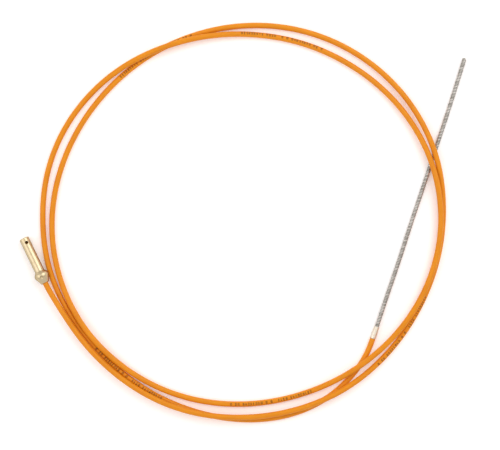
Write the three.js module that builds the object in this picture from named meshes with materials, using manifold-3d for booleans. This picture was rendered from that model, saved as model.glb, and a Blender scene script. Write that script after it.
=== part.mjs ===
// A coiled wire liner for a welding torch: a steel wire spiral inside an orange plastic jacket, with a
// brass nipple crimped on its feeder end and a brass ferrule where the spiral leaves the jacket bare.
// It lies on z = 0 with the middle of its coil on the origin. Sizes are in millimetres.
import * as THREE from 'three';
import { mergeVertices } from 'three/addons/utils/BufferGeometryUtils.js';
import Module from 'manifold-3d';

const wasm = await Module();
wasm.setup();

// Driving dimensions
const JACKET_DIAMETER = 5.25;
const JACKET_BORE = 4.5;
const CORE_DIAMETER = 3.7; // the spiral where the jacket encloses it
const TAIL_DIAMETER = 4; // the spiral where it is bare
const WIRE_PASSAGE = 2; // the welding wire's way through the spiral
const GAP = 0.3; // between touching pieces

const NIPPLE = {
  length: 46.5,
  barrelDiameter: 9.1,
  barrelLength: 34.8,
  collarDiameter: 13.6,
  collarStart: 36.2,
  collarEnd: 41.8,
  collarEase: 0.9, // off the radius at both of the collar's rounded shoulders
  rearDiameter: 8,
  wireInlet: 3.2,
  spiralBoreStart: 12,
  jacketBoreStart: 38.5,
  crossHole: 3.3,
  crossHolePlace: 5.1, // from the free end
  crossHoleLean: 15, // degrees from the top, towards the coil
  dimple: 2.2,
  dimplePlace: 41.5,
};
const NIPPLE_FREE_END = new THREE.Vector3(-206.35, -15.2, 4.55);
const NIPPLE_HEADING = 206.1; // degrees from +Y to the nipple's axis, towards the liner
const NIPPLE_TILT = 3.5; // the collar's rim lifts the axis

const FERRULE = {
  length: 11.4,
  rearDiameter: 5.5,
  frontDiameter: 4.9,
  bore: 4.3,
};
const FERRULE_HEADING = -19; // degrees from +Y to the ferrule's axis, towards the bare tail

// The liner's centre line from the nipple to the ferrule, as [turn angle in degrees, radius, height].
// 204 to 468 is the first pass, 480 to 828 the second and 840 to 1038 the last: the strands lie beside
// each other or ride over each other, and the first two ride over the bare tail at 18 degrees.
const COIL = [
  [204, 190.6, 7.4], [216, 187.6, 6.9], [228, 186.3, 6.9], [240, 185.7, 7.3], [252, 184.9, 8],
  [264, 183.6, 8.2], [276, 182.7, 8.1], [288, 182.6, 8.2], [300, 182.9, 8.1], [312, 183, 5.7],
  [324, 183.2, 3.7], [336, 184, 2.8], [348, 185.7, 2.65], [360, 187.8, 2.8], [372, 190, 5.3],
  [378, 191, 7.1], [384, 191.6, 7.1], [396, 192.2, 5], [408, 191.7, 3.3], [420, 190.4, 2.7],
  [432, 188.5, 2.65], [444, 186.1, 2.65], [456, 183.7, 2.65], [468, 181.5, 2.65],
  [480, 180, 2.65], [492, 178.6, 2.65], [504, 178.1, 2.65], [516, 178.4, 2.65], [528, 179.3, 2.65],
  [540, 180.2, 2.65], [552, 180.5, 2.9], [564, 180, 5], [576, 178.8, 6.7], [588, 177, 5.2],
  [600, 175.3, 3.3], [612, 173.5, 2.65], [624, 171.8, 2.65], [636, 170.8, 2.65], [648, 170.7, 3.6],
  [660, 171.8, 6.6], [666, 172.8, 8.1], [672, 174.2, 8.5], [684, 177.5, 8], [696, 180.8, 7.8],
  [708, 183.6, 7.8], [720, 185.3, 7.9], [732, 185.3, 8.9], [738, 185.1, 7.5], [744, 184.5, 6.6],
  [756, 182.6, 4.6], [768, 180.3, 3.2], [780, 178.3, 2.7], [792, 177.2, 2.65], [804, 176.7, 3],
  [816, 177.3, 5.3], [828, 178.9, 8.1],
  [840, 181.9, 8.3], [852, 185.6, 5], [864, 188.4, 3.2], [876, 190, 2.7], [888, 190, 2.65],
  [900, 188.8, 2.65], [912, 188, 2.65], [924, 185.7, 2.65], [936, 183.1, 2.65], [948, 182.1, 2.65],
  [960, 182.4, 2.65], [972, 183.4, 2.65], [984, 185, 2.65], [996, 186.3, 2.65], [1008, 185.5, 2.65],
  [1020, 180.5, 2.65], [1026, 176.1, 2.7], [1032, 170.8, 2.78], [1035, 167.4, 2.78],
  [1038, 163.8, 2.78],
];

// The bare tail's centre line beyond the ferrule's mouth. It lies nearly straight across the coil.
const TAIL_ROUTE = [
  [132.7, -77, 2.15], [146.6, -36, 2.02], [158.9, 2, 2.02], [168.8, 31.5, 2.02], [175.5, 52, 2.02],
  [185.8, 83, 2.02], [199, 124, 2.02], [208.3, 154, 2.02],
];

const JACKET_SIDES = 10;
const SPIRAL_SIDES = 8;
const TAIL_STEPS = 24;
const ROUND_SEGMENTS = 32; // of a turned piece
const HOLE_SEGMENTS = 20;

const brass = new THREE.MeshStandardMaterial({ color: 0xd8bf86, roughness: 0.25, metalness: 1 });
const orangePlastic = new THREE.MeshStandardMaterial({ color: 0xf0922a, roughness: 0.4, metalness: 0 });
const springSteel = new THREE.MeshStandardMaterial({ color: 0x9b9789, roughness: 0.45, metalness: 1 });

// A curve with its stations at chosen points. An extrusion with one step per stretch puts a ring on
// each of them.
class StationPath extends THREE.Curve {
  constructor(stations) {
    super();
    this.stations = stations;
  }

  getPoint(t) {
    const place = t * (this.stations.length - 1);
    const index = Math.min(Math.floor(place), this.stations.length - 2);
    return this.stations[index].clone().lerp(this.stations[index + 1], place - index);
  }

  getUtoTmapping(u) {
    return u;
  }
}

function ringSection(outerDiameter, boreDiameter) {
  const section = new THREE.Shape();
  section.absarc(0, 0, outerDiameter / 2, 0, 2 * Math.PI);
  const bore = new THREE.Path();
  bore.absarc(0, 0, boreDiameter / 2, 0, 2 * Math.PI, true);
  section.holes.push(bore);
  return section;
}

function hollowTube(stations, outerDiameter, boreDiameter, sides) {
  return new THREE.ExtrudeGeometry(ringSection(outerDiameter, boreDiameter), {
    steps: stations.length - 1,
    curveSegments: sides / 2,
    extrudePath: new StationPath(stations),
  });
}

function namedMesh(name, geometry, material) {
  const mesh = new THREE.Mesh(geometry, material);
  mesh.name = name;
  return mesh;
}

// A unit vector that points along a turned piece's axis, given its heading from +Y and its tilt.
function axisOf(heading, tilt) {
  return new THREE.Vector3(0, 1, 0)
    .applyAxisAngle(new THREE.Vector3(1, 0, 0), THREE.MathUtils.degToRad(tilt))
    .applyAxisAngle(new THREE.Vector3(0, 0, 1), THREE.MathUtils.degToRad(heading));
}

function along(start, axis, distance) {
  return start.clone().addScaledVector(axis, distance);
}

function toSolid(geometry) {
  const bare = geometry.clone();
  bare.deleteAttribute('normal');
  bare.deleteAttribute('uv');
  const merged = mergeVertices(bare);
  return new wasm.Manifold(new wasm.Mesh({
    numProp: 3,
    vertProperties: new Float32Array(merged.attributes.position.array),
    triVerts: new Uint32Array(merged.index.array),
  }));
}

function toGeometry(solid) {
  const mesh = solid.getMesh();
  const geometry = new THREE.BufferGeometry();
  geometry.setAttribute('position', new THREE.BufferAttribute(new Float32Array(mesh.vertProperties), 3));
  geometry.setIndex(new THREE.BufferAttribute(new Uint32Array(mesh.triVerts), 1));
  geometry.computeVertexNormals();
  return geometry;
}

// A turned piece with its axis along +Y. Its profile runs along the outside and back along the bore,
// as [radius, place along the axis].
function turned(profile) {
  const points = [...profile, profile[0]].map(([radius, place]) => new THREE.Vector2(radius, place));
  return new THREE.LatheGeometry(points, ROUND_SEGMENTS);
}

// Puts a turned piece's first end at a point, with its axis along a heading and a tilt.
function placeTurned(mesh, start, heading, tilt) {
  const holder = new THREE.Group();
  holder.position.copy(start);
  holder.rotation.z = THREE.MathUtils.degToRad(heading);
  mesh.rotation.x = THREE.MathUtils.degToRad(tilt);
  holder.add(mesh);
  return holder;
}

function nippleProfile() {
  const barrel = NIPPLE.barrelDiameter / 2;
  const collar = NIPPLE.collarDiameter / 2;
  const rear = NIPPLE.rearDiameter / 2;
  const inlet = NIPPLE.wireInlet / 2;
  const spiralBore = CORE_DIAMETER / 2 + GAP;
  const jacketBore = JACKET_DIAMETER / 2 + GAP;
  const chamfer = 0.5;
  const countersink = 0.7;
  const shoulder = 1.6;
  return [
    [barrel - chamfer, 0],
    [barrel, chamfer],
    [barrel, NIPPLE.barrelLength],
    [collar - NIPPLE.collarEase, NIPPLE.collarStart],
    [collar, NIPPLE.collarStart + shoulder],
    [collar, NIPPLE.collarEnd - shoulder],
    [collar - NIPPLE.collarEase, NIPPLE.collarEnd],
    [rear, NIPPLE.length - chamfer],
    [rear - chamfer / 2, NIPPLE.length],
    [jacketBore, NIPPLE.length],
    [jacketBore, NIPPLE.jacketBoreStart],
    [spiralBore, NIPPLE.jacketBoreStart],
    [spiralBore, NIPPLE.spiralBoreStart],
    [inlet, NIPPLE.spiralBoreStart],
    [inlet, countersink],
    [inlet + countersink, 0],
  ];
}

// A drill's cylinder, from the nipple's axis out through its wall, leaning by an angle from the top.
function crossDrill() {
  const reach = NIPPLE.barrelDiameter;
  const drill = new THREE.CylinderGeometry(
    NIPPLE.crossHole / 2, NIPPLE.crossHole / 2, reach, HOLE_SEGMENTS,
  );
  drill.translate(0, reach / 2, 0);
  drill.rotateX(Math.PI / 2);
  drill.rotateY(-THREE.MathUtils.degToRad(NIPPLE.crossHoleLean));
  drill.translate(0, NIPPLE.crossHolePlace, 0);
  return drill;
}

// A punch's cone, which dents the top of the collar over the jacket's bore.
function crimpPunch() {
  const depth = 1;
  const punch = new THREE.ConeGeometry(NIPPLE.dimple / 2, depth, HOLE_SEGMENTS);
  punch.rotateX(-Math.PI / 2);
  const surface = NIPPLE.collarDiameter / 2 - NIPPLE.collarEase;
  punch.translate(0, NIPPLE.dimplePlace, surface - depth / 4);
  return punch;
}

function brassNipple() {
  const body = toSolid(turned(nippleProfile()))
    .subtract(toSolid(crossDrill()))
    .subtract(toSolid(crimpPunch()));
  const mesh = namedMesh('brass_nipple', toGeometry(body), brass);
  return placeTurned(mesh, NIPPLE_FREE_END, NIPPLE_HEADING, NIPPLE_TILT);
}

function brassFerrule(start) {
  const rear = FERRULE.rearDiameter / 2;
  const front = FERRULE.frontDiameter / 2;
  const bore = FERRULE.bore / 2;
  const lip = 2.4; // the plain stretch against the jacket
  const chamfer = 0.3;
  const mesh = namedMesh('brass_ferrule', turned([
    [rear, 0],
    [rear, lip],
    [front, FERRULE.length - chamfer],
    [front - chamfer / 2, FERRULE.length],
    [bore, FERRULE.length],
    [bore, 0],
  ]), brass);
  return placeTurned(mesh, start, FERRULE_HEADING, 0);
}

function coilStation([angle, radius, height]) {
  const turn = THREE.MathUtils.degToRad(angle);
  return new THREE.Vector3(radius * Math.cos(turn), radius * Math.sin(turn), height);
}

const nippleAxis = axisOf(NIPPLE_HEADING, NIPPLE_TILT);
const ferruleAxis = axisOf(FERRULE_HEADING, 0);
const straightOut = 3; // the liner leaves the nipple straight
const coil = [
  along(NIPPLE_FREE_END, nippleAxis, NIPPLE.length + straightOut),
  ...COIL.map(coilStation),
];
const jacketEnd = coil.at(-1);
const ferruleStart = along(jacketEnd, ferruleAxis, GAP);
const ferruleMouth = along(ferruleStart, ferruleAxis, FERRULE.length);

function outerJacket() {
  const seat = along(NIPPLE_FREE_END, nippleAxis, NIPPLE.jacketBoreStart + GAP);
  const geometry = hollowTube([seat, ...coil], JACKET_DIAMETER, JACKET_BORE, JACKET_SIDES);
  return namedMesh('outer_jacket', geometry, orangePlastic);
}

function spiralCore() {
  const seat = along(NIPPLE_FREE_END, nippleAxis, NIPPLE.spiralBoreStart + GAP);
  const geometry = hollowTube([seat, ...coil, ferruleMouth], CORE_DIAMETER, WIRE_PASSAGE, SPIRAL_SIDES);
  return namedMesh('spiral_core', geometry, springSteel);
}

function spiralTail() {
  const route = [along(ferruleMouth, ferruleAxis, GAP), ...TAIL_ROUTE.map((p) => new THREE.Vector3(...p))];
  const stations = new THREE.CatmullRomCurve3(route).getSpacedPoints(TAIL_STEPS);
  const geometry = hollowTube(stations, TAIL_DIAMETER, WIRE_PASSAGE, SPIRAL_SIDES);
  return namedMesh('spiral_tail', geometry, springSteel);
}

const group = new THREE.Group();
group.add(brassNipple(), outerJacket(), spiralCore(), brassFerrule(ferruleStart), spiralTail());

export default group;
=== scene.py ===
"""A coiled wire liner for a welding torch, lying on a pale floor and seen from straight above.

Lengths are in metres. The routes and the nipple's place repeat the CAD part's numbers.
"""
import math

import bmesh
import bpy
import numpy as np
from mathutils import Matrix, Vector


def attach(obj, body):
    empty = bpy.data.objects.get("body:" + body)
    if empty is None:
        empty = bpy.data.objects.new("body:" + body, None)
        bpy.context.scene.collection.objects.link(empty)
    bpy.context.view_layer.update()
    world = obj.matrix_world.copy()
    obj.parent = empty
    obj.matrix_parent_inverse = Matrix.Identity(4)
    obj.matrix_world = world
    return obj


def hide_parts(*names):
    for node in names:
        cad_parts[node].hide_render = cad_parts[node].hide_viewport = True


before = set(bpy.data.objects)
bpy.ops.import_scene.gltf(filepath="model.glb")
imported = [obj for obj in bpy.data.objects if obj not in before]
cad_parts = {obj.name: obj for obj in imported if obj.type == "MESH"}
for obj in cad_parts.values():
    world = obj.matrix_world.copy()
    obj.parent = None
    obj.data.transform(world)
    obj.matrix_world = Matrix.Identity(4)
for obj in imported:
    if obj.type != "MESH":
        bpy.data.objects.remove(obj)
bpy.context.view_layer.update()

# Driving dimensions, as the CAD part has them
JACKET_DIAMETER = 0.00525
JACKET_BORE = 0.0045
CORE_DIAMETER = 0.0037
SPIRAL_DIAMETER = 0.004
WIRE_PASSAGE = 0.002
SPIRAL_PITCH = 0.00145
SPIRAL_WIRE_THICKNESS = 0.0009
SPIRAL_WIRE_HALF_WIDTH = 0.46  # of the pitch
WIRE_AROUND = 0.004  # texture coordinate all the way round the spiral's wire
TURNED_AROUND = 0.024  # texture coordinate all the way round a turned piece

NIPPLE_FREE_END = Vector((-0.20635, -0.0152, 0.00455))
NIPPLE_HEADING = 206.1  # degrees from +Y
NIPPLE_TILT = 3.5
NIPPLE_LENGTH = 0.0465
NIPPLE_STRAIGHT_OUT = 0.003
BARREL_RADIUS = 0.00455
BARREL_LENGTH = 0.0348
COLLAR_RADIUS = 0.0068
COLLAR_START = 0.0362
COLLAR_END = 0.0418
COLLAR_EASE = 0.0009
COLLAR_SHOULDER = 0.0016
REAR_RADIUS = 0.004
NIPPLE_CHAMFER = 0.0005
NIPPLE_EDGE_ROUNDING = 0.0008
NIPPLE_JACKET_BORE = 0.002925
NIPPLE_JACKET_BORE_START = 0.0385
NIPPLE_SPIRAL_BORE = 0.00215
NIPPLE_SPIRAL_BORE_START = 0.012
INLET_RADIUS = 0.0016
INLET_COUNTERSINK = 0.0007
CROSS_HOLE_RADIUS = 0.00165
CROSS_HOLE_PLACE = 0.0051
CROSS_HOLE_LEAN = 15  # degrees from the top, towards the coil
CROSS_HOLE_REACH = 0.006  # from the axis
CRIMP_PLACE = 0.0415
CRIMP_STRETCH = 1.8  # the dent is longer along the nipple than across it

FERRULE_HEADING = -19
FERRULE_LENGTH = 0.0114
FERRULE_REAR_RADIUS = 0.00275
FERRULE_FRONT_RADIUS = 0.00245
FERRULE_BORE_RADIUS = 0.00215
FERRULE_LIP = 0.0024  # the plain stretch against the jacket
FERRULE_CHAMFER = 0.0003
FERRULE_CRIMP_PLACE = 0.0022
GAP = 0.0003
TAIL_TIP_HEADING = -17.1  # degrees from +Y
TAIL_HIDDEN = 0.0045  # the tail's stretch inside the ferrule
CORE_END = 0.005  # the core stops this far inside the ferrule's mouth
LINER_STEP = 0.004  # between the rings of the jacket and the core
TAIL_STEP = 0.002

# The liner's centre line from the nipple to the ferrule: turn angle in degrees, radius, height
COIL = [
    (204, 0.1906, 0.0074), (216, 0.1876, 0.0069), (228, 0.1863, 0.0069), (240, 0.1857, 0.0073),
    (252, 0.1849, 0.008), (264, 0.1836, 0.0082), (276, 0.1827, 0.0081), (288, 0.1826, 0.0082),
    (300, 0.1829, 0.0081), (312, 0.183, 0.0057), (324, 0.1832, 0.0037), (336, 0.184, 0.0028),
    (348, 0.1857, 0.00265), (360, 0.1878, 0.0028), (372, 0.19, 0.0053), (378, 0.191, 0.0071),
    (384, 0.1916, 0.0071), (396, 0.1922, 0.005), (408, 0.1917, 0.0033), (420, 0.1904, 0.0027),
    (432, 0.1885, 0.00265), (444, 0.1861, 0.00265), (456, 0.1837, 0.00265), (468, 0.1815, 0.00265),
    (480, 0.18, 0.00265), (492, 0.1786, 0.00265), (504, 0.1781, 0.00265), (516, 0.1784, 0.00265),
    (528, 0.1793, 0.00265), (540, 0.1802, 0.00265), (552, 0.1805, 0.0029), (564, 0.18, 0.005),
    (576, 0.1788, 0.0067), (588, 0.177, 0.0052), (600, 0.1753, 0.0033), (612, 0.1735, 0.00265),
    (624, 0.1718, 0.00265), (636, 0.1708, 0.00265), (648, 0.1707, 0.0036), (660, 0.1718, 0.0066),
    (666, 0.1728, 0.0081), (672, 0.1742, 0.0085), (684, 0.1775, 0.008), (696, 0.1808, 0.0078),
    (708, 0.1836, 0.0078), (720, 0.1853, 0.0079), (732, 0.1853, 0.0089), (738, 0.1851, 0.0075),
    (744, 0.1845, 0.0066), (756, 0.1826, 0.0046), (768, 0.1803, 0.0032), (780, 0.1783, 0.0027),
    (792, 0.1772, 0.00265), (804, 0.1767, 0.003), (816, 0.1773, 0.0053), (828, 0.1789, 0.0081),
    (840, 0.1819, 0.0083), (852, 0.1856, 0.005), (864, 0.1884, 0.0032), (876, 0.19, 0.0027),
    (888, 0.19, 0.00265), (900, 0.1888, 0.00265), (912, 0.188, 0.00265), (924, 0.1857, 0.00265),
    (936, 0.1831, 0.00265), (948, 0.1821, 0.00265), (960, 0.1824, 0.00265), (972, 0.1834, 0.00265),
    (984, 0.185, 0.00265), (996, 0.1863, 0.00265), (1008, 0.1855, 0.00265), (1020, 0.1805, 0.00265),
    (1026, 0.1761, 0.0027), (1032, 0.1708, 0.00278), (1035, 0.1674, 0.00278),
    (1038, 0.1638, 0.00278),
]

# The bare tail's centre line beyond the ferrule's mouth
TAIL_ROUTE = [
    (0.1327, -0.077, 0.00215), (0.1466, -0.036, 0.00202), (0.1589, 0.002, 0.00202),
    (0.1688, 0.0315, 0.00202), (0.1755, 0.052, 0.00202), (0.1858, 0.083, 0.00202),
    (0.199, 0.124, 0.00202), (0.2083, 0.154, 0.00202),
]

# Printing on the jacket: a run of generic ticks that repeats along it
PRINT_REPEAT = 0.499
PRINT_CENTRE = 0.42  # of the first run, from the jacket's start
PRINT_LENGTH = 0.086
# The printed line's place along the jacket, and there its angle up from the coil's outer side
PRINT_LINE = [(0.41, 70), (1.41, 92), (1.91, 65), (2.41, 100)]
TICK_SPACING = 0.0024

CAMERA_HEIGHT = 1.5
CAMERA_CENTRE = (0.0062, -0.0026)
VIEW_WIDTH = 0.4715  # of the floor in the picture

# The studio round the object is dim near the horizon and bright overhead
ROOM_LOW = 0.08
ROOM_HIGH = 0.45
ROOM_DARK = 0.62
ROOM_BRIGHT = 0.78
BACKDROP = 0.95


# Camera, light and floor

def add_camera():
    data = bpy.data.cameras.new("camera")
    data.sensor_width = 36
    data.lens = data.sensor_width * CAMERA_HEIGHT / VIEW_WIDTH
    camera = bpy.data.objects.new("camera", data)
    camera.location = (*CAMERA_CENTRE, CAMERA_HEIGHT)
    bpy.context.scene.collection.objects.link(camera)
    bpy.context.scene.camera = camera


def add_area_light(name, place, size, power, colour):
    data = bpy.data.lights.new(name, "AREA")
    data.size = size
    data.energy = power
    data.color = colour
    light = bpy.data.objects.new(name, data)
    light.location = place
    light.rotation_euler = (-Vector(place)).to_track_quat("-Z", "Y").to_euler()
    bpy.context.scene.collection.objects.link(light)


def add_surroundings():
    world = bpy.data.worlds.new("studio")
    world.use_nodes = True
    tree = world.node_tree
    background = tree.nodes["Background"]
    background.inputs["Color"].default_value = (1, 0.98, 0.97, 1)
    direction = add_node(tree, "TexCoord").outputs["Generated"]
    height = add_node(tree, "SeparateXYZ", {"Vector": direction}).outputs["Z"]
    studio = remap(tree, height, ROOM_LOW, ROOM_HIGH, ROOM_DARK, ROOM_BRIGHT)
    seen = add_node(tree, "LightPath").outputs["Is Camera Ray"]
    brightness = remap(tree, seen, 0, 1, studio, BACKDROP)
    tree.links.new(brightness, background.inputs["Strength"])
    scene = bpy.context.scene
    scene.world = world
    scene.view_settings.view_transform = "Standard"
    add_area_light("key", (0.9, 1, 1.5), 1.4, 14, (1, 0.98, 0.96))
    add_area_light("fill", (-1.4, -0.1, 1.3), 1.6, 8, (1, 0.99, 0.98))


def add_floor():
    data = bpy.data.meshes.new("floor")
    half = 6
    corners = [(-half, -half, 0), (half, -half, 0), (half, half, 0), (-half, half, 0)]
    data.from_pydata(corners, [], [(0, 1, 2, 3)])
    floor = bpy.data.objects.new("floor", data)
    bpy.context.scene.collection.objects.link(floor)
    material = bpy.data.materials.new("pale_floor")
    material.use_nodes = True
    shader = material.node_tree.nodes["Principled BSDF"]
    shader.inputs["Base Color"].default_value = (0.95, 0.935, 0.935, 1)
    shader.inputs["Roughness"].default_value = 0.7
    shader.inputs["Specular IOR Level"].default_value = 0.2
    shader.inputs["Emission Color"].default_value = (1, 0.93, 0.9, 1)
    shader.inputs["Emission Strength"].default_value = 0.17
    data.materials.append(material)


# Routes

def turned_axis(heading, tilt):
    turn = Matrix.Rotation(math.radians(heading), 3, "Z") @ Matrix.Rotation(math.radians(tilt), 3, "X")
    return turn @ Vector((0, 1, 0))


def smooth_slopes(knots, values, first, last):
    """The slopes at the knots of the smoothest curve through the values, with both end slopes given."""
    gaps = np.diff(knots)
    rises = np.diff(values) / gaps
    matrix = np.eye(len(knots))
    sides = np.zeros(len(knots))
    sides[0] = first
    sides[-1] = last
    for i in range(1, len(knots) - 1):
        matrix[i, i - 1] = gaps[i]
        matrix[i, i] = 2 * (gaps[i - 1] + gaps[i])
        matrix[i, i + 1] = gaps[i - 1]
        sides[i] = 3 * (gaps[i] * rises[i - 1] + gaps[i - 1] * rises[i])
    return np.linalg.solve(matrix, sides)


def level_slopes(knots, values, first, last):
    """Slopes at the knots that make no new high or low place between them."""
    rises = np.diff(values) / np.diff(knots)
    slopes = np.zeros(len(knots))
    slopes[0] = first
    slopes[-1] = last
    for i in range(1, len(knots) - 1):
        before, after = rises[i - 1], rises[i]
        if before * after > 0:
            slopes[i] = 2 * before * after / (before + after)
    return slopes


def between_knots(knots, values, slopes, places):
    index = np.clip(np.searchsorted(knots, places, side="right") - 1, 0, len(knots) - 2)
    gap = knots[index + 1] - knots[index]
    t = (places - knots[index]) / gap
    start = (2 * t**3 - 3 * t**2 + 1) * values[index] + (t**3 - 2 * t**2 + t) * gap * slopes[index]
    end = (3 * t**2 - 2 * t**3) * values[index + 1] + (t**3 - t**2) * gap * slopes[index + 1]
    return start + end


def lengths_along(points):
    return np.concatenate([[0], np.cumsum(np.linalg.norm(np.diff(points, axis=0), axis=1))])


def smooth_route(stations, first_direction, last_direction, step):
    """Evenly spaced points on a smooth curve through the stations, with a given direction at each end."""
    stations = np.array([tuple(p) for p in stations])
    knots = lengths_along(stations)
    places_per_station = 64
    places = np.linspace(0, knots[-1], places_per_station * len(stations))
    dense = []
    for axis, slopes_of in enumerate((smooth_slopes, smooth_slopes, level_slopes)):
        slopes = slopes_of(knots, stations[:, axis], first_direction[axis], last_direction[axis])
        dense.append(between_knots(knots, stations[:, axis], slopes, places))
    dense = np.stack(dense, axis=1)
    along = lengths_along(dense)
    even = np.linspace(0, along[-1], round(along[-1] / step) + 1)
    return np.stack([np.interp(even, along, dense[:, axis]) for axis in range(3)], axis=1)


def coil_station(station):
    angle, radius, height = station
    turn = math.radians(angle)
    return Vector((radius * math.cos(turn), radius * math.sin(turn), height))


def ring_frames(points):
    """At each point of a route, the directions along it, level to its left, and up."""
    tangents = np.gradient(points, axis=0)
    tangents /= np.linalg.norm(tangents, axis=1)[:, None]
    lefts = np.cross([0, 0, 1], tangents)
    lefts /= np.linalg.norm(lefts, axis=1)[:, None]
    return tangents, lefts, np.cross(tangents, lefts)


# Mesh work

def add_piece(name, data, material, replaced):
    data.materials.append(material)
    for face in data.polygons:
        face.use_smooth = True
    data.set_sharp_from_angle(angle=math.radians(40))
    piece = bpy.data.objects.new(name, data)
    bpy.context.scene.collection.objects.link(piece)
    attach(piece, "root")
    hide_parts(replaced)
    return piece


def grid_faces(rows, columns, first):
    """Quads between rows of vertices, where each row is a closed loop of columns."""
    faces = []
    for row in range(rows - 1):
        for column in range(columns):
            beside = (column + 1) % columns
            low, high = first + row * columns, first + (row + 1) * columns
            faces.append((low + column, low + beside, high + beside, high + column))
    return faces


def sweep(points, frames, radius, sides):
    lefts, ups = frames[1:]
    angles = np.arange(sides) * 2 * math.pi / sides
    sideways = np.cos(angles)[None, :, None] * lefts[:, None]
    upward = np.sin(angles)[None, :, None] * ups[:, None]
    return (points[:, None] + radius * (sideways + upward)).reshape(-1, 3)


def set_uv(data, coordinates):
    """Writes each face corner's texture coordinates from a function of its vertex and face."""
    layer = data.uv_layers.new(name="along_and_around")
    for face in data.polygons:
        for loop in face.loop_indices:
            layer.data[loop].uv = coordinates(data.loops[loop].vertex_index, face)


def hollow_tube(name, points, outer_radius, bore_radius, sides, print_line=None):
    """A closed tube with a bore. Its texture coordinates are metres along it and metres round it, which
    count from the print line's angle.
    """
    frames = ring_frames(points)
    rows = len(points)
    vertices = np.concatenate([
        sweep(points, frames, outer_radius, sides),
        sweep(points, frames, bore_radius, sides),
    ])
    inner = rows * sides
    last = (rows - 1) * sides
    faces = grid_faces(rows, sides, 0)
    faces += [face[::-1] for face in grid_faces(rows, sides, inner)]
    for column in range(sides):
        beside = (column + 1) % sides
        faces.append((column, inner + column, inner + beside, beside))
        faces.append((last + column, last + beside, inner + last + beside, inner + last + column))
    data = bpy.data.meshes.new(name)
    data.from_pydata(vertices.tolist(), [], faces)
    along = lengths_along(points)

    def coordinates(vertex, face):
        row, column = divmod(vertex % inner, sides)
        columns = [v % sides for v in face.vertices]
        turn = column / sides
        if max(columns) - min(columns) > sides / 2 and column < sides / 2:
            turn += 1
        line = 0.0 if print_line is None else print_line(along[row])
        return along[row], (turn - line) * 2 * math.pi * outer_radius

    set_uv(data, coordinates)
    return data


def wire_spiral(name, points, outer_radius, thickness, pitch):
    """A flattish round-edged wire wound closely round the route, with its two ends capped."""
    steps_per_turn, around = 20, 8
    along = lengths_along(points)
    count = int(along[-1] / pitch * steps_per_turn)
    places = np.linspace(0, along[-1], count)
    centres = np.stack([np.interp(places, along, points[:, axis]) for axis in range(3)], axis=1)
    tangents, lefts, ups = ring_frames(centres)
    turns = 2 * math.pi * np.arange(count) / steps_per_turn
    outward = np.cos(turns)[:, None] * lefts + np.sin(turns)[:, None] * ups
    middles = centres + outward * (outer_radius - thickness / 2)
    angles = np.arange(around) * 2 * math.pi / around
    flatness = 0.7
    widths = np.cos(angles) * pitch * SPIRAL_WIRE_HALF_WIDTH
    depths = np.sign(np.sin(angles)) * np.abs(np.sin(angles)) ** flatness * thickness / 2
    section = widths[None, :, None] * tangents[:, None] + depths[None, :, None] * outward[:, None]
    vertices = (middles[:, None] + section).reshape(-1, 3)
    faces = grid_faces(count, around, 0)
    faces.append(tuple(range(around)))
    faces.append(tuple(reversed(range((count - 1) * around, count * around))))
    data = bpy.data.meshes.new(name)
    data.from_pydata(vertices.tolist(), [], faces)
    data.flip_normals()

    def coordinates(vertex, face):
        row, column = divmod(vertex, around)
        return places[row], column / around * WIRE_AROUND

    set_uv(data, coordinates)
    return data


def rounded(profile, radius, steps=3):
    """The closed profile with each corner cut by a small arc."""
    points = []
    for i, corner in enumerate(profile):
        corner = Vector(corner)
        before = Vector(profile[i - 1]) - corner
        after = Vector(profile[(i + 1) % len(profile)]) - corner
        reach = min(radius, before.length * 0.4, after.length * 0.4)
        start = corner + before.normalized() * reach
        end = corner + after.normalized() * reach
        for step in range(steps + 1):
            t = step / steps
            points.append(start * (1 - t) ** 2 + corner * 2 * t * (1 - t) + end * t**2)
    return points


def turned_mesh(name, profile, segments):
    """A body turned about +Y. Its texture coordinates are metres along the profile and metres round it."""
    rows = len(profile)
    body = bmesh.new()
    layer = body.loops.layers.uv.new("along_and_around")
    angles = [2 * math.pi * s / segments for s in range(segments)]
    rings = [
        [body.verts.new((r * math.cos(a), y, r * math.sin(a))) for r, y in profile] for a in angles
    ]
    along = [0]
    for i in range(rows):
        along.append(along[-1] + (Vector(profile[(i + 1) % rows]) - Vector(profile[i])).length)
    for s in range(segments):
        for i in range(rows):
            low, high = rings[s], rings[(s + 1) % segments]
            face = body.faces.new((low[i], low[(i + 1) % rows], high[(i + 1) % rows], high[i]))
            turns = (s, s, s + 1, s + 1)
            places = (along[i], along[i + 1], along[i + 1], along[i])
            for loop, place, turn in zip(face.loops, places, turns):
                loop[layer].uv = (place, turn / segments * TURNED_AROUND)
    bmesh.ops.recalc_face_normals(body, faces=body.faces)
    data = bpy.data.meshes.new(name)
    body.to_mesh(data)
    body.free()
    return data


def cut(data, cutters):
    """The mesh with the cutters' solids taken out of it."""
    target = bpy.data.objects.new("target", data)
    bpy.context.scene.collection.objects.link(target)
    tools = []
    for cutter in cutters:
        tool = bpy.data.objects.new("tool", cutter)
        bpy.context.scene.collection.objects.link(tool)
        modifier = target.modifiers.new("cut", "BOOLEAN")
        modifier.operation = "DIFFERENCE"
        modifier.solver = "EXACT"
        modifier.object = tool
        tools.append(tool)
    result = bpy.data.meshes.new_from_object(target.evaluated_get(bpy.context.evaluated_depsgraph_get()))
    for tool in [target, *tools]:
        bpy.data.objects.remove(tool)
    return result


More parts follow.
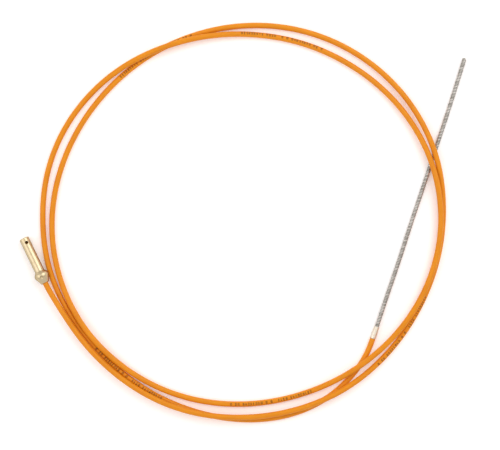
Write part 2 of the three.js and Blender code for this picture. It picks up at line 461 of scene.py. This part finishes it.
def round_cutter(profile, matrix):
    """A solid turned about +Z, from a profile of radius and height that starts and ends on the axis."""
    body = bmesh.new()
    verts = [body.verts.new((r, 0, z)) for r, z in profile]
    edges = [body.edges.new(pair) for pair in zip(verts, verts[1:])]
    bmesh.ops.spin(
        body, geom=verts + edges, angle=2 * math.pi, steps=40, axis=(0, 0, 1), cent=(0, 0, 0),
        use_merge=True,
    )
    bmesh.ops.remove_doubles(body, verts=body.verts, dist=1e-7)
    bmesh.ops.recalc_face_normals(body, faces=body.faces)
    bmesh.ops.transform(body, matrix=matrix, verts=body.verts)
    data = bpy.data.meshes.new("cutter")
    body.to_mesh(data)
    body.free()
    return data


# Materials

def new_material(name, **values):
    material = bpy.data.materials.new(name)
    material.use_nodes = True
    shader = material.node_tree.nodes["Principled BSDF"]
    for key, value in values.items():
        shader.inputs[key.replace("_", " ")].default_value = value
    return material, material.node_tree, shader


def add_node(tree, kind, inputs=None, **settings):
    node = tree.nodes.new("ShaderNode" + kind)
    for key, value in settings.items():
        setattr(node, key, value)
    for key, value in (inputs or {}).items():
        if isinstance(value, bpy.types.NodeSocket):
            tree.links.new(value, node.inputs[key])
        else:
            node.inputs[key].default_value = value
    return node


def do_math(tree, operation, *values):
    return add_node(tree, "Math", dict(enumerate(values)), operation=operation).outputs[0]


def scaled_uv(tree, along, around):
    """Texture coordinates in metres along and round a piece, each multiplied by its own scale."""
    place = add_node(tree, "UVMap", uv_map="along_and_around").outputs["UV"]
    return add_node(tree, "Mapping", {"Vector": place, "Scale": (along, around, 1)}).outputs["Vector"]


def noise(tree, place, scale, detail=3):
    return add_node(tree, "TexNoise", {"Vector": place, "Scale": scale, "Detail": detail}).outputs["Fac"]


def remap(tree, value, low, high, to_low, to_high):
    inputs = {"Value": value, "From Min": low, "From Max": high, "To Min": to_low, "To Max": to_high}
    return add_node(tree, "MapRange", inputs).outputs["Result"]


def mix_colours(tree, factor, first, second):
    """A Mix node's colour. Its sockets 0, 6 and 7 are the factor and the two colours."""
    return add_node(tree, "Mix", {0: factor, 6: first, 7: second}, data_type="RGBA").outputs[2]


def add_bump(tree, shader, height, distance, strength=1.0):
    bump = add_node(tree, "Bump", {"Height": height, "Distance": distance, "Strength": strength})
    tree.links.new(bump.outputs["Normal"], shader.inputs["Normal"])


def print_ticks(tree):
    """1 on the jacket's printed ticks, which vary in width and height, in groups, and 0 elsewhere."""
    place = add_node(tree, "UVMap", uv_map="along_and_around").outputs["UV"]
    split = add_node(tree, "SeparateXYZ", {"Vector": place}).outputs
    shift = PRINT_REPEAT - PRINT_CENTRE + PRINT_LENGTH / 2
    run = do_math(tree, "MODULO", do_math(tree, "ADD", split["X"], shift), PRINT_REPEAT)
    in_run = do_math(tree, "LESS_THAN", run, PRINT_LENGTH)
    tick = do_math(tree, "DIVIDE", run, TICK_SPACING)
    number = do_math(tree, "FLOOR", tick)
    varied = add_node(tree, "TexWhiteNoise", {"W": number}, noise_dimensions="1D").outputs
    width = remap(tree, varied["Value"], 0, 1, 0.4, 0.9)
    in_tick = do_math(tree, "LESS_THAN", do_math(tree, "FRACT", tick), width)
    other = do_math(tree, "FRACT", do_math(tree, "MULTIPLY", varied["Value"], 7))
    height = remap(tree, other, 0, 1, 0.0009, 0.0016)
    in_line = do_math(tree, "LESS_THAN", do_math(tree, "ABSOLUTE", split["Y"]), height)
    in_group = do_math(tree, "GREATER_THAN", other, 0.22)
    ticks = do_math(tree, "MULTIPLY", in_tick, in_group)
    return do_math(tree, "MULTIPLY", ticks, do_math(tree, "MULTIPLY", in_run, in_line))


def orange_plastic():
    material, tree, shader = new_material(
        "orange_plastic", Specular_IOR_Level=0.28, Subsurface_Weight=0.1, Subsurface_Scale=0.002,
    )
    shader.inputs["Subsurface Radius"].default_value = (1, 0.45, 0.12)
    shades = noise(tree, scaled_uv(tree, 45, 120), 1, 4)
    base = mix_colours(
        tree, remap(tree, shades, 0.3, 0.7, 0, 1), (0.73, 0.235, 0.003, 1), (0.82, 0.28, 0.0045, 1),
    )
    specks = noise(tree, scaled_uv(tree, 900, 900), 1, 2)
    dusty = mix_colours(tree, remap(tree, specks, 0.62, 0.8, 0, 0.22), base, (0.42, 0.12, 0.006, 1))
    worn_ink = remap(tree, noise(tree, scaled_uv(tree, 500, 900), 1, 2), 0.35, 0.65, 0.3, 0.85)
    ink = do_math(tree, "MULTIPLY", print_ticks(tree), worn_ink)
    inked = mix_colours(tree, ink, dusty, (0.13, 0.03, 0.0015, 1))
    tree.links.new(inked, shader.inputs["Base Color"])
    gloss = noise(tree, scaled_uv(tree, 120, 400), 1, 3)
    tree.links.new(remap(tree, gloss, 0.3, 0.7, 0.4, 0.54), shader.inputs["Roughness"])
    rib_scale = 0.314 / SPIRAL_PITCH  # at scale 1, a Wave node's bands are 0.314 m apart
    ribs = add_node(
        tree, "TexWave", {"Vector": scaled_uv(tree, 1, 1), "Scale": rib_scale, "Distortion": 0.4},
        wave_type="BANDS", bands_direction="X", wave_profile="SIN",
    ).outputs["Fac"]
    draw_lines = noise(tree, scaled_uv(tree, 25, 2600), 1, 2)
    height = do_math(tree, "ADD", ribs, do_math(tree, "MULTIPLY", draw_lines, 0.8))
    add_bump(tree, shader, height, 0.00003)
    return material


def turned_brass(name, dull_colour, bright_colour, painted_edge_shade):
    # The near-black edge tint darkens grazing reflections: painted shade along the silhouettes.
    material, tree, shader = new_material(name, Metallic=1, Specular_Tint=painted_edge_shade)
    shades = noise(tree, scaled_uv(tree, 260, 60), 1, 4)
    base = mix_colours(tree, remap(tree, shades, 0.35, 0.65, 0, 1), dull_colour, bright_colour)
    stains = noise(tree, scaled_uv(tree, 420, 420), 1, 5)
    tree.links.new(
        mix_colours(tree, remap(tree, stains, 0.6, 0.8, 0, 0.35), base, (0.4, 0.29, 0.14, 1)),
        shader.inputs["Base Color"],
    )
    rings = noise(tree, scaled_uv(tree, 9000, 12), 1, 2)
    tree.links.new(remap(tree, rings, 0.3, 0.7, 0.34, 0.44), shader.inputs["Roughness"])
    add_bump(tree, shader, rings, 0.00002)
    return material


def spring_steel():
    # The near-black edge tint darkens grazing reflections: painted shade along the silhouettes.
    painted_edge_shade = (0.03, 0.025, 0.02, 1)
    material, tree, shader = new_material("spring_steel", Metallic=1, Specular_Tint=painted_edge_shade)
    place = add_node(tree, "UVMap", uv_map="along_and_around").outputs["UV"]
    split = add_node(tree, "SeparateXYZ", {"Vector": place}).outputs
    turn = do_math(tree, "FLOOR", do_math(tree, "DIVIDE", split["X"], SPIRAL_PITCH))
    varied = add_node(tree, "TexWhiteNoise", {"W": turn}, noise_dimensions="1D").outputs["Value"]
    shades = mix_colours(tree, varied, (0.5, 0.475, 0.43, 1), (0.84, 0.81, 0.76, 1))
    # Darkens the wire's sides where the turns meet: painted shade in the grooves between turns.
    around = do_math(tree, "MULTIPLY", split["Y"], 2 * math.pi / WIRE_AROUND)
    crown = do_math(tree, "ABSOLUTE", do_math(tree, "SINE", around))
    groove_shade = mix_colours(tree, remap(tree, crown, 0.25, 0.9, 0, 1), (0.06, 0.052, 0.045, 1), shades)
    grime = noise(tree, scaled_uv(tree, 1400, 1400), 1, 4)
    tree.links.new(
        mix_colours(tree, remap(tree, grime, 0.55, 0.75, 0, 0.25), groove_shade, (0.12, 0.105, 0.09, 1)),
        shader.inputs["Base Color"],
    )
    scuffs = noise(tree, scaled_uv(tree, 2200, 600), 1, 3)
    tree.links.new(remap(tree, scuffs, 0.3, 0.7, 0.28, 0.48), shader.inputs["Roughness"])
    add_bump(tree, shader, scuffs, 0.00001)
    return material


# Pieces

def print_line(distance):
    """The print line's place round the jacket, in turns from its inner side, at a distance along it."""
    degrees_up = np.interp(distance, *zip(*PRINT_LINE))
    return (180 - degrees_up) / 360


def brass_nipple(material, shaded_inside_material):
    profile = [
        (BARREL_RADIUS - NIPPLE_CHAMFER, 0),
        (BARREL_RADIUS, NIPPLE_CHAMFER),
        (BARREL_RADIUS, BARREL_LENGTH),
        (COLLAR_RADIUS - COLLAR_EASE, COLLAR_START),
        (COLLAR_RADIUS, COLLAR_START + COLLAR_SHOULDER),
        (COLLAR_RADIUS, COLLAR_END - COLLAR_SHOULDER),
        (COLLAR_RADIUS - COLLAR_EASE, COLLAR_END),
        (REAR_RADIUS, NIPPLE_LENGTH - NIPPLE_CHAMFER),
        (REAR_RADIUS - NIPPLE_CHAMFER / 2, NIPPLE_LENGTH),
        (NIPPLE_JACKET_BORE, NIPPLE_LENGTH),
        (NIPPLE_JACKET_BORE, NIPPLE_JACKET_BORE_START),
        (NIPPLE_SPIRAL_BORE, NIPPLE_JACKET_BORE_START),
        (NIPPLE_SPIRAL_BORE, NIPPLE_SPIRAL_BORE_START),
        (INLET_RADIUS, NIPPLE_SPIRAL_BORE_START),
        (INLET_RADIUS, INLET_COUNTERSINK),
        (INLET_RADIUS + INLET_COUNTERSINK, 0),
    ]
    data = turned_mesh("brass_nipple", rounded(profile, NIPPLE_EDGE_ROUNDING), 96)
    lean = Matrix.Rotation(-math.radians(CROSS_HOLE_LEAN), 4, "Y")
    hole_profile = [
        (0, 0), (CROSS_HOLE_RADIUS, 0), (CROSS_HOLE_RADIUS, CROSS_HOLE_REACH), (0, CROSS_HOLE_REACH),
    ]
    hole = round_cutter(hole_profile, Matrix.Translation((0, CROSS_HOLE_PLACE, 0)) @ lean)
    punch_profile = [
        (0, -0.0011), (0.0005, -0.001), (0.0009, -0.0006), (0.0012, 0.0002), (0.0013, 0.0012), (0, 0.0012),
    ]
    punch_place = Matrix.Translation((0, CRIMP_PLACE, COLLAR_RADIUS - COLLAR_EASE / 2))
    punch = round_cutter(punch_profile, punch_place @ Matrix.Diagonal((1, CRIMP_STRETCH, 1, 1)))
    data = cut(data, [hole, punch])
    place = (
        Matrix.Translation(NIPPLE_FREE_END)
        @ Matrix.Rotation(math.radians(NIPPLE_HEADING), 4, "Z")
        @ Matrix.Rotation(math.radians(NIPPLE_TILT), 4, "X")
    )
    add_piece("nipple", data, material, "brass_nipple")
    data.materials.append(shaded_inside_material)
    wall = 0.0009  # what is deeper than this, past the free end's rim, is inside
    rim = 0.001
    # The faces inside the bore take the darker brass: painted shade for the deep hollow.
    for face in data.polygons:
        depth = BARREL_RADIUS - math.hypot(face.center.x, face.center.z)
        if depth > wall and face.center.y > rim:
            face.material_index = 1
    data.transform(place)


def brass_ferrule(material, start):
    profile = [
        (FERRULE_REAR_RADIUS, 0),
        (FERRULE_REAR_RADIUS, FERRULE_LIP),
        (FERRULE_FRONT_RADIUS, FERRULE_LENGTH - FERRULE_CHAMFER),
        (FERRULE_FRONT_RADIUS - FERRULE_CHAMFER / 2, FERRULE_LENGTH),
        (FERRULE_BORE_RADIUS, FERRULE_LENGTH),
        (FERRULE_BORE_RADIUS, 0),
    ]
    data = turned_mesh("brass_ferrule", rounded(profile, FERRULE_CHAMFER / 2), 64)
    punch = round_cutter(
        [(0, -0.00028), (0.0004, -0.00025), (0.0007, -0.0001), (0.001, 0.0003), (0, 0.0003)],
        Matrix.Translation((0, FERRULE_CRIMP_PLACE, FERRULE_REAR_RADIUS)),
    )
    data = cut(data, [punch])
    data.transform(Matrix.Translation(start) @ Matrix.Rotation(math.radians(FERRULE_HEADING), 4, "Z"))
    return add_piece("ferrule", data, material, "brass_ferrule")


add_camera()
add_surroundings()
add_floor()

nipple_axis = turned_axis(NIPPLE_HEADING, NIPPLE_TILT)
ferrule_axis = turned_axis(FERRULE_HEADING, 0)
nipple_rear = NIPPLE_FREE_END + nipple_axis * NIPPLE_LENGTH
coil = [
    NIPPLE_FREE_END + nipple_axis * (NIPPLE_JACKET_BORE_START + GAP),
    nipple_rear + nipple_axis * NIPPLE_STRAIGHT_OUT,
    *[coil_station(station) for station in COIL],
]
ferrule_start = coil[-1] + ferrule_axis * GAP
ferrule_mouth = ferrule_start + ferrule_axis * FERRULE_LENGTH

plastic = orange_plastic()
brass = turned_brass("brass", (0.65, 0.53, 0.33, 1), (0.72, 0.6, 0.4, 1), (0.04, 0.02, 0.008, 1))
pale_brass = turned_brass(
    "pale_brass", (0.84, 0.75, 0.61, 1), (0.92, 0.85, 0.73, 1), (0.04, 0.03, 0.02, 1),
)
# Darker brass for inside the nipple's bore: painted shade for the deep hollow.
painted_shade_bore = turned_brass("painted_shade_bore", (0.36, 0.22, 0.07, 1), (0.45, 0.28, 0.1, 1), (0.2, 0.1, 0.03, 1))
steel = spring_steel()

brass_nipple(brass, painted_shade_bore)
ferrule = brass_ferrule(pale_brass, ferrule_start)

liner_route = smooth_route(coil, nipple_axis, ferrule_axis, LINER_STEP)
jacket = add_piece(
    "jacket", hollow_tube("jacket", liner_route, JACKET_DIAMETER / 2, JACKET_BORE / 2, 20, print_line),
    plastic, "outer_jacket",
)
core_seat = NIPPLE_FREE_END + nipple_axis * (NIPPLE_SPIRAL_BORE_START + GAP)
core_route = smooth_route(
    [core_seat, *coil, ferrule_mouth - ferrule_axis * CORE_END], nipple_axis, ferrule_axis, LINER_STEP,
)
add_piece(
    "core", hollow_tube("core", core_route, CORE_DIAMETER / 2, WIRE_PASSAGE / 2, 12),
    steel, "spiral_core",
)
tail_route = smooth_route(
    [ferrule_mouth - ferrule_axis * TAIL_HIDDEN, ferrule_mouth + ferrule_axis * GAP, *TAIL_ROUTE],
    ferrule_axis, turned_axis(TAIL_TIP_HEADING, 0), TAIL_STEP,
)
tail = add_piece(
    "tail", wire_spiral("tail", tail_route, SPIRAL_DIAMETER / 2, SPIRAL_WIRE_THICKNESS, SPIRAL_PITCH),
    steel, "spiral_tail",
)
